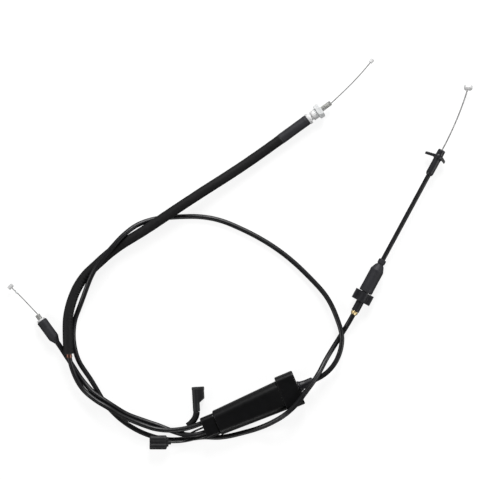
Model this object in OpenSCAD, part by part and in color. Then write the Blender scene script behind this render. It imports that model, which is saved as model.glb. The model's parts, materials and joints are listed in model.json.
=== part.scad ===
// Throttle cable set for a small two-stroke. One throttle cable runs from the lever to a splitter
// box, and two branch cables run on from the box to the carburettor and the oil pump.
// The set lies loosely coiled on a bench at Z = 0. The origin is under the middle of the splitter
// box, +X runs along the box towards its throttle-cable inlet, and +Z is up. Millimetres.

/* [Casings] */
// Outside diameter of the throttle casing and of both branch casings
casing_d = 5.5; // [5.3:0.1:5.6]
// Bore of every casing
casing_bore = 3; // [2.8:0.1:3.2]
// Outside diameter of the throttle casing above the adjuster
upper_casing_d = 5; // [4.6:0.1:5.2]
// Outside diameter of the protective sleeve over the carburettor casing
sleeve_d = 11; // [10.6:0.1:11.4]
// Wall of the protective sleeve
sleeve_wall = 1.2; // [1:0.1:1.3]

/* [Wires] */
// Diameter of the throttle wire
throttle_wire_d = 1.5; // [1.2:0.1:1.6]
// Diameter of both branch wires
branch_wire_d = 1.2; // [1:0.1:1.2]
// How far the wires travel from closed to full throttle
travel = 16; // [10:1:16]

/* [Throttle end] */
// Diameter of the plastic ferrule that clips into the lever housing
lever_ferrule_d = 8.3; // [8:0.1:8.6]
// Diameter of the barrel on the end of the throttle wire
barrel_d = 7; // [6.5:0.1:7.5]
// Length of that barrel
barrel_l = 9; // [8:0.5:9]

/* [Inline adjuster] */
// Diameter of the rubber boot over the adjuster
adjuster_boot_d = 15; // [14.6:0.1:15.4]
// Span of the adjuster's two wings
wing_span = 21.4; // [20:0.2:22]
// Outside diameter of the screw's plain lower end
adjuster_tube_d = 8.7; // [8.3:0.1:8.9]

/* [Branch ends] */
// Thread diameter of both end studs
stud_d = 6; // [6:0.1:6.2]
// Bore of both end studs
stud_bore = 4; // [4:0.05:4.2]
// Distance across the corners of the lock nut
locknut_corners = 16.4; // [15:0.1:16.6]
// Diameter of the carburettor boot
carb_boot_d = 11.6; // [11:0.1:12]
// Diameter of the oil-pump boot
oil_boot_d = 11.6; // [11:0.1:12]

/* [Splitter box] */
// Height of the box
box_h = 20; // [20:0.2:20.4]
// Height of the seam between base and cover
seam_z = 7; // [6.6:0.1:7]
// Wall of the box
box_wall = 2; // [1.8:0.1:2]
// Radius of the long top edges of the cover
cover_round = 8; // [6:0.5:8]
// Diameter of the inlet tube
inlet_d = 8.8; // [8.4:0.1:9]

/* [Hidden] */
$fn = 64;

// How far a stud's shank lies inside its thread
stud_relief = 0.25;
// The end cap's lug: its lowest Z, and the rivet through it
lug_z = 2.6;
rivet_at = [51.4, -5.4];
// Clearance round a piece that sits in a pocket
gap = 0.05;
// Neighbouring bends of one casing differ by this in radius and lap by this in length
bend_step = 0.03;
bend_lap = 0.05;
// A bend whose sideways offset is less than this part of its length is made straight
straight_below = 0.006;

casing_r = casing_d / 2;
bore_r = casing_bore / 2;
upper_r = upper_casing_d / 2;
throttle_r = throttle_wire_d / 2;
branch_r = branch_wire_d / 2;
pocket_r = casing_r + gap;

// The straight throttle end: where it starts and the way it points
lever_o = [135.2, 51, 8];
lever_heading = 39;
// Stations along the throttle end, measured from lever_o towards the barrel
casing_stop = 12;
wing_start = 16.35;
screw_end = 45;
sleeve_start = 28.2;
sleeve_end = 56;
upper_start = 50;
ferrule_start = 174;
ferrule_end = 205;
wire_tail = 150;
wire_bow = [279, 7.5, 0];
// Radius of the adjuster's threaded length
screw_r = 4;

// The two branch ends: the tip of each stud and the way it points
carb_tip = [201.7, 274.9, 7.4];
carb_heading = 13.5;
carb_casing_end = -31.2;
oil_tip = [-184.8, 184, 6.2];
oil_heading = 103.5;
oil_casing_end = -22.4;

// The splitter box: ends of the body, ends of the cap and the height of every cable in it
box_x0 = -48.4;
box_x1 = 28.4;
cap_x1 = 49.3;
port_x0 = -63.8;
inlet_x1 = 66.7;
cable_z = 11.5;
inlet_y = 1.3;
port_y = 5.3;
lead_z = 8.3;
lead_r = 1.1;
port_lead_y = [0, -9.6];

// The slider joins the three wires. Its -Y side ramps by this much for each millimetre along X,
// which pushes the switch's plunger in as the slider travels
slider_x0 = -38;
slider_x1 = -22;
slider_ramp = 0.1;
nipple_r = 2.4;
plunger_x = -23;
plunger_r = 0.95;

// Branch wires lean from one side of the stud's bore to the other, then bow to their nipples
wire_lean_y = 1.25;
wire_in = -4;
wire_out = 16;
carb_wire_end = [64.8, 11, 0];
oil_wire_end = [42.1, 5.4, 0];

// Connectors on the two switch leads, and the leads' paths to the box
flag_o = [-64.2, 18.8, 3.9];
flag_heading = 70.5;
twin_o = [-115.3, 3.8, 9.7];
twin_heading = -22.6;
lead_end_x = -45;

function unit(v) = v / norm(v);
function heading(a) = [cos(a), sin(a), 0];
function along(o, a, s) = o + s * heading(a);
function aligned(v, t) = norm(cross(unit(v), t)) < 1e-6;
// Direction of a path at one of its points: an end that starts out straight stays straight, and
// elsewhere the shorter neighbour counts for more
function tangent(p, i, first, last) =
    let (n = len(p) - 1)
    i == 0 || i == 1 && aligned(p[1] - p[0], first) ? first :
    i == n || i == n - 1 && aligned(p[n] - p[n - 1], last) ? last :
    let (a = p[i] - p[i - 1], b = p[i + 1] - p[i]) unit(a / (a * a) + b / (b * b));
// Point where the two arcs between a pair of path points meet
function meet(p0, t0, p1, t1) =
    let (v = p1 - p0, t = t0 + t1, k = 2 * (1 - t0 * t1),
         d = k < 1e-6 ? v * v / (4 * (v * t0)) : (sqrt((v * t) * (v * t) + k * (v * v)) - v * t) / k)
    (p0 + p1 + d * (t0 - t1)) / 2;
function slice(p, a, b) = [for (i = [a : b]) p[i]];

// Throttle casing: under the adjuster, over the box corner, back under the box, once round the
// coil and into the inlet
throttle_path = [
    along(lever_o, lever_heading, casing_stop), along(lever_o, lever_heading, 0),
    [113.5, 34.5, 3.3], [92.9, 20.2, 8], [70.4, 3.4, 20], [53.4, -6.7, 23.6], [40, -14.5, 23.8],
    [27, -19.4, 23.5], [10, -23, 16], [-10, -24, 7.2], [-28, -22.2, 3.2], [-42, -20, 2.8],
    [-54, -16.6, 2.8], [-66.5, -10.8, 2.8], [-86.6, -4.8, 2.8], [-104, 1.5, 2.8], [-123.5, 15.4, 2.8],
    [-138.1, 32, 2.8], [-152, 60, 2.8], [-157.5, 91.6, 2.8], [-162.3, 127.5, 2.8],
    [-150.8, 160.3, 3.8], [-136.4, 176.3, 6.4], [-101.2, 209.3, 14.8], [-82, 219.6, 15.6],
    [-62, 228.6, 12.8], [-46, 232.6, 8.4], [-30, 232.2, 4.2], [-4.2, 225, 3], [30.9, 209.2, 2.8],
    [65.2, 177, 2.8], [101.2, 120.4, 3.4], [117.5, 63.4, 6.6], [110.3, 24.9, 10.4],
    [88, 5.2, 11.5], [inlet_x1, inlet_y, cable_z], [56.2, inlet_y, cable_z]];
throttle_dirs = [-heading(lever_heading), [-1, 0, 0]];

// Carburettor casing: down the protective sleeve, over the bundle and into the upper port
carb_path = [
    along(carb_tip, carb_heading, carb_casing_end), along(carb_tip, carb_heading, -76),
    [-20, 228, 11.5], [-98, 211.6, 5.9], [-126, 199.5, 6.2], [-150.8, 174, 9.2],
    [-163.8, 146, 11.5], [-168.8, 131, 11.4], [-172, 110, 9.4], [-169.8, 90, 8.8],
    [-161.2, 73.3, 11.8], [-151.5, 60.5, 13.9], [-143.2, 48.5, 12.4], [-127.7, 31.7, 9.4],
    [-111.4, 17.8, 9.6], [-94, 9.6, 10.6], [-78, 6, 11.4],
    [port_x0, port_y, cable_z], [port_x0 + 9.6, port_y, cable_z]];
carb_dirs = [-heading(carb_heading), [1, 0, 0]];
// The protective sleeve ends at this point of the path
sleeve_last = 7;

// Oil-pump casing: along the bench beside the coil and into the lower port
oil_path = [
    along(oil_tip, oil_heading, oil_casing_end), along(oil_tip, oil_heading, -38),
    [-172.6, 128, 3.8], [-165.2, 93, 4.6], [-160.8, 82, 7.1], [-153.4, 70.5, 8.8],
    [-146.3, 60, 8.6], [-136.5, 46, 5.4], [-121, 31, 3], [-108, 19.5, 3.2], [-97, 9, 4.7],
    [-86, 0.8, 9], [-76, -3.6, 11.3],
    [port_x0, -port_y, cable_z], [port_x0 + 9.6, -port_y, cable_z]];
oil_dirs = [-heading(oil_heading), [1, 0, 0]];

// Lead of the flag connector: out of its sleeve, round and into the box
lead_sleeve_exit = heading(192);
lead_a_path = [
    [-79.5, 7.6, 3.8], [-87.2, 3.6, 3.3], [-83.6, -0.5, 3.2], [-74, -0.2, 5.8],
    [port_x0, port_lead_y[0], lead_z], [lead_end_x, port_lead_y[0], lead_z]];
// Lead of the twin connector
lead_b_path = [
    along(twin_o, twin_heading, 12), [-92, -5.6, 7.6], [-78, -8.4, 7.6],
    [port_x0, port_lead_y[1], lead_z], [lead_end_x, port_lead_y[1], lead_z]];

// Frame with +X along a heading
module aim(o, a) translate(o) rotate([0, 0, a]) children();
// Solid of revolution about X from [radius, station] points
module turned(profile) rotate([0, 90, 0]) rotate_extrude() polygon(profile);
module ring(r, bore) difference() { circle(r); if (bore > 0) circle(bore); }
// Tube or rod along X between two stations
module rod(x0, x1, r, bore = 0)
    translate([x0, 0, 0]) rotate([0, 90, 0]) linear_extrude(x1 - x0) ring(r, bore);

// One arc of tube from p0, leaving along t0, to p1
module bend(p0, t0, p1, r, bore) {
    w = p1 - p0;
    side = w - (w * t0) * t0;
    if (norm(side) < straight_below * norm(w)) {
        n = unit(cross(t0, [0, 0, 1]));
        q = cross(t0, n);
        multmatrix([for (k = [0 : 2]) [n[k], q[k], t0[k], p0[k]]])
            translate([0, 0, -bend_lap]) linear_extrude(norm(w) + 2 * bend_lap) ring(r, bore);
    } else {
        n = unit(side);
        half = acos(min(1, w * t0 / norm(w)));
        radius = norm(w) / (2 * sin(half));
        q = cross(-n, t0);
        centre = p0 + radius * n;
        lap = bend_lap / radius * 180 / PI;
        multmatrix([for (k = [0 : 2]) [-n[k], t0[k], q[k], centre[k]]])
            rotate([0, 0, -lap]) rotate_extrude(angle = 2 * (half + lap))
            translate([radius, 0]) ring(r, bore);
    }
}

// Tube through every point of a path, as pairs of arcs that share their tangents
module run(p, dirs, r, bore = 0) {
    thin = r - bend_step;
    wide = bore > 0 ? bore + bend_step : 0;
    for (i = [0 : len(p) - 2]) {
        t0 = tangent(p, i, dirs[0], dirs[1]);
        t1 = tangent(p, i + 1, dirs[0], dirs[1]);
        if (norm(cross(unit(p[i + 1] - p[i]), t0)) + norm(t1 - t0) < straight_below)
            // A straight end is one piece: thin before the first bend, full size after the last
            bend(p[i], t0, p[i + 1], i == 0 ? thin : r, i == 0 ? wide : bore);
        else {
            m = meet(p[i], t0, p[i + 1], t1);
            w = m - p[i];
            bend(p[i], t0, m, r, bore);
            bend(m, unit(2 * (w * t0) * w / (w * w) - t0), p[i + 1], thin, wide);
        }
    }
}

// ---- Throttle end -------------------------------------------------------------------------

module throttle_barrel() color("silver")
    aim(lever_o, lever_heading) translate(wire_bow) rotate([0, 0, -62])
        difference() {
            turned([[0, -barrel_l / 2], [barrel_d / 2 - 0.8, -barrel_l / 2],
                [barrel_d / 2, -barrel_l / 2 + 0.8], [barrel_d / 2, barrel_l / 2 - 0.8],
                [barrel_d / 2 - 0.8, barrel_l / 2], [0, barrel_l / 2]]);
            rotate([0, 0, 73.5]) rod(-barrel_d, 0.6, throttle_r + gap);
        }

module throttle_wire() color("gainsboro")
    aim(lever_o, lever_heading) {
        rod(wire_tail, ferrule_end + bend_lap, throttle_r - bend_step);
        bend([ferrule_end, 0, 0], [1, 0, 0], wire_bow, throttle_r, 0);
    }

module lever_ferrule() color("#202226")
    aim(lever_o, lever_heading) {
        r = lever_ferrule_d / 2;
        flange_x = 194.4;
        flange_t = 3.2;
        wing_r = 3.2;
        difference() {
            union() {
                turned([[0, ferrule_start], [r - 0.9, ferrule_start], [r, ferrule_start + 2],
                    [r, ferrule_end - 0.8], [r - 0.8, ferrule_end], [0, ferrule_end]]);
                translate([flange_x, 0, 0]) rotate([90, 0, 90]) linear_extrude(flange_t) {
                    circle(5.8);
                    translate([-9.1 + wing_r, 0]) circle(wing_r);
                    translate([15.1 - wing_r, 0]) circle(wing_r);
                    translate([-9.1 + wing_r, -wing_r]) square([24.2 - 2 * wing_r, 2 * wing_r]);
                }
            }
            rod(ferrule_start - 1, ferrule_end + 1, bore_r);
            rod(ferrule_start - 1, ferrule_start + 8, upper_r + gap);
        }
    }

module upper_casing() color("#26282b")
    aim(lever_o, lever_heading) rod(upper_start + gap, ferrule_start + 8 - gap, upper_r, bore_r);

// ---- Inline adjuster ----------------------------------------------------------------------

module adjuster_boot() color("#2a2c2f")
    aim(lever_o, lever_heading) {
        r = adjuster_boot_d / 2;
        neck = upper_r + 0.1;
        turned([[6.1, 28.1], [r - 0.6, 28.1], [r, 29], [r, 55], [r - 1.2, 58], [4.6, 61.5],
            [3.6, 62.5], [3.6, 63.2], [4.25, 63.8], [4.25, 67.8], [3.6, 68.5], [neck, 68.5],
            [neck, 56.3], [6.1, 56.3]]);
    }

module adjuster_sleeve() color("#33363a")
    aim(lever_o, lever_heading) {
        turned([[screw_r + gap, sleeve_start], [5.8, sleeve_start], [5.8, sleeve_end],
            [upper_r + gap, sleeve_end], [upper_r + gap, upper_start], [bore_r, upper_start],
            [bore_r, upper_start - 4], [screw_r + gap, upper_start - 4]]);
    }

module adjuster_screw() color("#2b2d31")
    aim(lever_o, lever_heading) {
        tube_r = adjuster_tube_d / 2;
        tube_end = wing_start - gap;
        turned([[pocket_r, 4.3], [tube_r - 0.4, 4.3], [tube_r, 4.7], [tube_r, tube_end],
            [screw_r, tube_end], [screw_r, screw_end], [bore_r, screw_end],
            [bore_r, casing_stop + gap], [pocket_r, casing_stop + gap]]);
    }

module adjuster_wing() color("#26282b")
    aim(lever_o, lever_heading) {
        wing_l = 11.4;
        wing_t = 6.8;
        hub_r = 6.4;
        bevel = 1.8;
        difference() {
            union() {
                rod(wing_start, wing_start + wing_l, hub_r);
                translate([wing_start, -wing_span / 2, -wing_t / 2]) cube([wing_l, wing_span, wing_t]);
            }
            rod(wing_start - 1, wing_start + wing_l + 1, screw_r + gap);
            // Bevelled corners of the wings, seen from above
            for (x = [wing_start, wing_start + wing_l], y = [-1, 1])
                translate([x, y * wing_span / 2, 0]) rotate([0, 0, 45])
                    cube([bevel, bevel, wing_t + 1], center = true);
        }
    }

module brass_ferrule() color("goldenrod")
    aim(lever_o, lever_heading)
        turned([[pocket_r, 0.4], [3.1, 0.4], [4, 2.2], [4, 4.2], [pocket_r, 4.2]]);

// ---- Throttle cable -----------------------------------------------------------------------

module throttle_casing() color("#1d1f22") run(throttle_path, throttle_dirs, casing_r, bore_r);

module throttle_core() color("gainsboro") {
    run(slice(throttle_path, 0, len(throttle_path) - 2), throttle_dirs, throttle_r);
    aim(lever_o, lever_heading) rod(casing_stop - bend_lap, wire_tail - 1, throttle_r);
}

// ---- Splitter box -------------------------------------------------------------------------

// Lowest and highest Y of the box's side walls at station x
function box_low(x) = -15 - 2 * (x - box_x0) / 77;
function box_high(x) = 12.4 + 3.6 * (x - box_x0) / 77;
module box_plan(x0, x1, inset)
    polygon([[x0, box_low(x0) + inset], [x1, box_low(x1) + inset],
        [x1, box_high(x1) - inset], [x0, box_high(x0) - inset]]);
// End view of a moulding with rounded top edges
module dome(y0, y1, z0, z1, r) hull() {
    translate([y0, z0]) square([y1 - y0, 0.1]);
    for (y = [y0 + r, y1 - r]) translate([y, z1 - r]) intersection() {
        circle(r, $fn = 32);
        translate([-r, 0]) square(2 * r);
    }
}
module dome_slice(x, inset, z0, z1, r)
    translate([x, 0, 0]) rotate([90, 0, 90]) linear_extrude(0.01)
        dome(box_low(x) + inset, box_high(x) - inset, z0, z1, r);
// Rod along X at a given Y and Z
module cable_hole(x0, x1, y, z, r) translate([0, y, z]) rod(x0, x1, r);

module box_base() color("#18191c") {
    difference() {
        linear_extrude(seam_z) box_plan(box_x0, box_x1, 0);
        translate([0, 0, box_wall]) linear_extrude(seam_z) box_plan(box_x0 + box_wall, box_x1 + 1, box_wall);
    }
    // Rails that the slider runs on
    for (y = [-6, 4]) translate([-42, y, box_wall - 0.1]) cube([44, 2, 4.05]);
}

module box_cover() color("#17181b")
    difference() {
        hull() {
            dome_slice(box_x0, 0, seam_z + 0.02, box_h, cover_round);
            dome_slice(box_x1 - 0.01, 0, seam_z + 0.02, box_h, cover_round);
        }
        hull() {
            dome_slice(box_x0 + box_wall, box_wall, seam_z - 1, box_h - box_wall, cover_round - box_wall);
            dome_slice(box_x1 + 1, box_wall, seam_z - 1, box_h - box_wall, cover_round - box_wall);
        }
        for (y = [-port_y, port_y]) cable_hole(box_x0 - 1, box_x0 + 3, y, cable_z, bore_r);
        for (y = port_lead_y) cable_hole(box_x0 - 1, box_x0 + 3, y, lead_z, lead_r + 0.1);
    }

module box_end_cap() color("#1b1c1f")
    difference() {
        union() {
            translate([box_x1 + gap, 0, 0]) rotate([90, 0, 90])
                linear_extrude(cap_x1 - box_x1 - gap) dome(-18.2, 20, 0, box_h + 0.6, 5);
            // Lug that the cap's rivet goes through
            translate([cap_x1 - 0.1, -9, lug_z]) cube([4.6, 7.4, 2.4]);
        }
        translate([0, 0, box_wall]) linear_extrude(box_h - 2 * box_wall)
            polygon([[box_x1 - 1, -14.8], [cap_x1 - 2.5, -14.8], [cap_x1 - 2.5, 13.8], [box_x1 - 1, 13.8]]);
        cable_hole(cap_x1 - 4, cap_x1 + 1, inlet_y, cable_z, 3 + gap);
        translate([rivet_at[0], rivet_at[1], lug_z - 0.5]) cylinder(h = 4, r = 1 + gap);
    }

module cap_rivet() color("silver")
    translate([rivet_at[0], rivet_at[1], lug_z - 0.9]) {
        cylinder(h = 3.9, r = 1);
        translate([0, 0, 3.4]) cylinder(h = 0.9, r1 = 1.7, r2 = 1.2);
        cylinder(h = 0.8, r = 1.7);
    }

module inlet_tube() color("#1f2124")
    translate([0, inlet_y, cable_z])
        turned([[bore_r, cap_x1 - 2.4], [3, cap_x1 - 2.4], [3, cap_x1 + gap], [6.2, cap_x1 + gap],
            [6.2, cap_x1 + 1.4], [inlet_d / 2 + 0.6, cap_x1 + 3], [inlet_d / 2, cap_x1 + 8],
            [inlet_d / 2, inlet_x1 - 0.8], [inlet_d / 2 - 0.8, inlet_x1], [pocket_r, inlet_x1],
            [pocket_r, 56.1], [bore_r, 56.1]]);

module port_block() color("#1b1c1f")
    difference() {
        translate([port_x0, 0, 0]) rotate([90, 0, 90])
            linear_extrude(box_x0 - port_x0 - gap) dome(-13.4, 10.7, 5.9, 18, 5.5);
        for (y = [-port_y, port_y]) {
            cable_hole(port_x0 - 1, box_x0 + 1, y, cable_z, bore_r);
            cable_hole(port_x0 - 1, port_x0 + 9.7, y, cable_z, pocket_r);
        }
        for (y = port_lead_y) cable_hole(port_x0 - 1, box_x0 + 1, y, lead_z, lead_r + 0.1);
    }

module cable_slider() color("ivory")
    difference() {
        translate([0, 0, 6.05]) linear_extrude(11) polygon([[slider_x0, 8], [slider_x1, 8],
            [slider_x1, -8], [slider_x0, -8 - slider_ramp * (slider_x1 - slider_x0)]]);
        translate([slider_x1 - 5, inlet_y, 5]) cylinder(h = 13, r = nipple_r + gap);
        cable_hole(slider_x1 - 5, slider_x1 + 1, inlet_y, cable_z, throttle_r + 0.1);
        for (y = [-port_y, port_y]) {
            translate([slider_x0 + 4, y, 5]) cylinder(h = 13, r = nipple_r + gap);
            cable_hole(slider_x0 - 1, slider_x0 + 4, y, cable_z, branch_r + 0.1);
        }
    }

module nipple(x, y) translate([x, y, cable_z - 2.5]) cylinder(h = 5, r = nipple_r);

module slider_inlet_wire() color("gainsboro") {
    nipple(slider_x1 - 5, inlet_y);
    cable_hole(slider_x1 - 5, inlet_x1 - travel - 1.5, inlet_y, cable_z, throttle_r);
}

module slider_branch_wires() color("gainsboro")
    for (y = [-port_y, port_y]) {
        nipple(slider_x0 + 4, y);
        cable_hole(port_x0 + 0.4, slider_x0 + 4, y, cable_z, branch_r);
    }

// ---- Switch and its leads -----------------------------------------------------------------

module switch_body() color("#303236")
    difference() {
        translate([-31, -13.2, 5]) cube([17, 3.3, 8.2]);
        translate([plunger_x, -9, cable_z]) rotate([90, 0, 0]) cylinder(h = 3.9, r = plunger_r + gap);
    }

module switch_plunger() color("ivory")
    translate([plunger_x, -8.35, cable_z]) rotate([90, 0, 0]) cylinder(h = 2.4, r = plunger_r);

module switch_lead_a() color("#25272a") run(lead_a_path, [lead_sleeve_exit, [1, 0, 0]], lead_r);
module switch_lead_b() color("#25272a") run(lead_b_path, [heading(twin_heading), [1, 0, 0]], lead_r);

module flag_connector() color("#232529")
    aim(flag_o, flag_heading) difference() {
        union() {
            rod(0, 26.7, 3.9);
            translate([12.2, -9.4, -3.3]) cube([14.5, 7.4, 6.6]);
        }
        rod(8, 27, 3);
        rod(-1, 9, lead_r + 0.4);
        translate([13.4, -8.2, -2.1]) cube([14, 6.2, 4.2]);
    }

module lead_sleeve() color("#1e2023")
    run([along(flag_o, flag_heading, -0.1), lead_a_path[0]],
        [-heading(flag_heading), lead_sleeve_exit], 3.6, 2.9);

module twin_connector() color("#232529")
    aim(twin_o, twin_heading) difference() {
        union() {
            for (y = [-3.95, 3.95]) translate([0, y, 0]) rod(-9.9, 8.6, 3.8);
            translate([-8, -3.5, -2.4]) cube([15, 7, 4.8]);
            translate([7.9, -4.6, -2.6]) cube([2, 9.2, 5.2]);
            rod(9, 13.5, 2.3);
        }
        for (y = [-3.95, 3.95]) translate([0, y, 0]) rod(-11, 5, 2.9);
        rod(11.4, 14, lead_r + 0.15);
    }

module terminal(x0, x1, y) translate([0, y, 0]) rod(x0, x1, 2.1, 1.4);
module connector_terminals() color("goldenrod") {
    aim(twin_o, twin_heading) for (y = [-3.95, 3.95]) terminal(-8, 4.9, y);
    aim(flag_o, flag_heading) terminal(8.1, 24, 0);
}

// ---- Carburettor branch -------------------------------------------------------------------

module carb_casing() color("#1d1f22") run(carb_path, carb_dirs, casing_r, bore_r);

module carb_core() color("gainsboro") {
    run(slice(carb_path, 0, len(carb_path) - 2), carb_dirs, branch_r);
    aim(carb_tip, carb_heading) rod(carb_casing_end - bend_lap, -26, branch_r);
}

module carb_sleeve() color("#2c2e31")
    run(concat([along(carb_tip, carb_heading, -67.6)], slice(carb_path, 1, sleeve_last)),
        [carb_dirs[0], tangent(carb_path, sleeve_last, carb_dirs[0], carb_dirs[1])],
        sleeve_d / 2, sleeve_d / 2 - sleeve_wall);

// Crimped ring where the casing leaves the protective sleeve
module sleeve_ferrule() color("#b87333") {
    t = tangent(carb_path, sleeve_last, carb_dirs[0], carb_dirs[1]);
    p = carb_path[sleeve_last];
    bend(p + 0.2 * t, t, p + 4 * t, casing_r + 0.45, casing_r + 0.12);
}

module carb_boot() color("#26282b")
    aim(carb_tip, carb_heading) {
        r = carb_boot_d / 2;
        spigot = sleeve_d / 2 - sleeve_wall - gap;
        turned([[pocket_r, -75], [spigot, -75], [spigot, -67.5], [r, -67.5], [r, -32], [r - 0.6, -31.4],
            [4.3, -31.4], [4.3, -43.2], [pocket_r, -43.2]]);
    }

module carb_ferrule() color("whitesmoke")
    aim(carb_tip, carb_heading)
        turned([[pocket_r, -43.1], [4.2, -43.1], [4.2, -31.3], [6.3, -31.3], [6.3, -28.2], [4, -28],
            [4, -25.2], [5.5, -25], [5.5, -20.8], [stud_d / 2 + gap, -20.8], [stud_d / 2 + gap, -25.6],
            [stud_bore / 2, -25.6], [stud_bore / 2, -31.1], [pocket_r, -31.1]]);

module carb_washer() color("silver")
    aim(carb_tip, carb_heading) rod(-20.7, -18.8, 5.5, stud_d / 2 + gap);

module carb_locknut() color("silver")
    aim(carb_tip, carb_heading) difference() {
        translate([-18.7, 0, 0]) rotate([0, 90, 0]) rotate(30)
            cylinder(h = 6, d = locknut_corners, $fn = 6);
        rod(-20, -12, stud_d / 2 + gap);
    }

// Hollow stud that ends at station 0, threaded at its outer end and relieved behind
module stud(length, threaded) {
    shank_r = stud_d / 2 - stud_relief;
    turned([[stud_bore / 2, -length], [shank_r, -length], [shank_r, -threaded],
        [stud_d / 2, -threaded], [stud_d / 2, 0], [stud_bore / 2, 0]]);
}

module carb_stud() color("lightgray")
    aim(carb_tip, carb_heading) stud(25.5, 12.4);

// Wire end that leans across the stud's bore, then bows to the nipple
module branch_wire(end) {
    bend([wire_in, -wire_lean_y, 0], lean, [wire_out, wire_lean_y, 0], branch_r - bend_step, 0);
    bend([wire_out, wire_lean_y, 0], lean, end, branch_r, 0);
}
// Direction of the wire across the bore, and of the bowed wire where it ends
lean = unit([wire_out - wire_in, 2 * wire_lean_y, 0]);
function wire_exit(end) =
    let (w = end - [wire_out, wire_lean_y, 0]) unit(2 * (w * lean) * w / (w * w) - lean);

module carb_wire() color("gainsboro") aim(carb_tip, carb_heading) branch_wire(carb_wire_end);

module carb_nipple() color("silver")
    aim(carb_tip, carb_heading) {
        t = wire_exit(carb_wire_end);
        translate(carb_wire_end) rotate([0, 0, atan2(t[1], t[0])]) difference() {
            turned([[0, -4], [1.5, -4], [1.9, -3.6], [1.9, 0.4], [1.5, 0.8], [0, 0.8]]);
            rod(-5, 0.1, branch_r + gap);
        }
    }

// ---- Oil-pump branch ----------------------------------------------------------------------

module oil_casing() color("#1d1f22") run(oil_path, oil_dirs, casing_r, bore_r);

module oil_core() color("gainsboro") {
    run(slice(oil_path, 0, len(oil_path) - 2), oil_dirs, branch_r);
    aim(oil_tip, oil_heading) rod(oil_casing_end - bend_lap, oil_casing_end + 3.4, branch_r);
}

module oil_boot() color("#26282b")
    aim(oil_tip, oil_heading) {
        r = oil_boot_d / 2;
        turned([[pocket_r, -37], [3.2, -37], [3.4, -36], [r, -31], [r, -8.7], [r - 0.5, -8.2],
            [4.1, -8.2], [4.1, -30.2], [pocket_r, -30.2]]);
    }

module oil_ferrule() color("whitesmoke")
    aim(oil_tip, oil_heading)
        turned([[pocket_r, -30.1], [4, -30.1], [4, -8.1], [4.7, -8.1], [4.7, -6.2],
            [stud_d / 2 + gap, -6.2], [stud_d / 2 + gap, -14.1], [stud_bore / 2, -14.1],
            [stud_bore / 2, -22.3], [pocket_r, -22.3]]);

module oil_stud() color("lightgray")
    aim(oil_tip, oil_heading) stud(14, 6);

module oil_wire() color("gainsboro") aim(oil_tip, oil_heading) branch_wire(oil_wire_end);

// Crimped stop and its small follower near the end of the wire
module oil_stops() color("silver")
    aim(oil_tip, oil_heading) translate([33, 3.68, 0]) rotate([0, 0, 9.2]) {
        rod(-1.2, 1.2, 1.4, branch_r + 0.15);
        rod(3, 4.2, 1.1, branch_r + 0.25);
    }

module oil_nipple() color("silver")
    aim(oil_tip, oil_heading) {
        t = wire_exit(oil_wire_end);
        translate(oil_wire_end) rotate([0, 0, atan2(t[1], t[0])]) difference() {
            rotate([0, 0, 90])
                turned([[0, -3.1], [1.9, -3.1], [2.2, -2.8], [2.2, 2.8], [1.9, 3.1], [0, 3.1]]);
            rod(-3, 0.1, branch_r + gap);
        }
    }

throttle_barrel();
throttle_wire();
lever_ferrule();
upper_casing();
adjuster_boot();
adjuster_sleeve();
adjuster_screw();
adjuster_wing();
brass_ferrule();
throttle_casing();
throttle_core();
box_base();
box_cover();
box_end_cap();
cap_rivet();
inlet_tube();
port_block();
cable_slider();
slider_inlet_wire();
slider_branch_wires();
switch_body();
switch_plunger();
switch_lead_a();
switch_lead_b();
lead_sleeve();
flag_connector();
twin_connector();
connector_terminals();
carb_casing();
carb_core();
carb_sleeve();
sleeve_ferrule();
carb_boot();
carb_ferrule();
carb_washer();
carb_locknut();
carb_stud();
carb_wire();
carb_nipple();
oil_casing();
oil_core();
oil_boot();
oil_ferrule();
oil_stud();
oil_wire();
oil_stops();
oil_nipple();
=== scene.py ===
"""Looks for the throttle cable set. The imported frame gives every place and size: straight parts are turned on
axes taken from the record's mounts, and flexible parts follow centre lines felt out inside the CAD tubes."""

import json
import math

import bmesh
import bpy
import numpy as np
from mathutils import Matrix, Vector, noise
from mathutils.bvhtree import BVHTree


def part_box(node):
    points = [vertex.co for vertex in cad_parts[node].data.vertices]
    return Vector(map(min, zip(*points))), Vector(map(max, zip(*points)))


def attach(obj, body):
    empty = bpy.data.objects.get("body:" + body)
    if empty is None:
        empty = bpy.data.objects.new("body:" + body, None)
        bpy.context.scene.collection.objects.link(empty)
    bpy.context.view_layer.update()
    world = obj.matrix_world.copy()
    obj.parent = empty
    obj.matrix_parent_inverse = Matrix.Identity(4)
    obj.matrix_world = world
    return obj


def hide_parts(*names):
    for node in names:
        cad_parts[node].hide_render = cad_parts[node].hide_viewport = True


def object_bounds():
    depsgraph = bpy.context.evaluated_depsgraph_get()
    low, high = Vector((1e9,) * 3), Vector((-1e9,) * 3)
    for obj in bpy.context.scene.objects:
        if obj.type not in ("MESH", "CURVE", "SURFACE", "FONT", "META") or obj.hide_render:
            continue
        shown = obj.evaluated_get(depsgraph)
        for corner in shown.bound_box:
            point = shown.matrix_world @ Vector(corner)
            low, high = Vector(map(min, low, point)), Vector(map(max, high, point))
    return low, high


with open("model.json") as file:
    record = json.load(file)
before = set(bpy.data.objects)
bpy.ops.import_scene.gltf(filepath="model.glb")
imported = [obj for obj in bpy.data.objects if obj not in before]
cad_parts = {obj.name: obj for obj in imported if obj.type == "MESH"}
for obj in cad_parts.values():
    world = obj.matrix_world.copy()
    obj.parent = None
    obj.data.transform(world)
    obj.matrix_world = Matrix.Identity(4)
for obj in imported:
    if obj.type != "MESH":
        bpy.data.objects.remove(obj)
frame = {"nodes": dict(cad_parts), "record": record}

cad_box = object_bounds()

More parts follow.
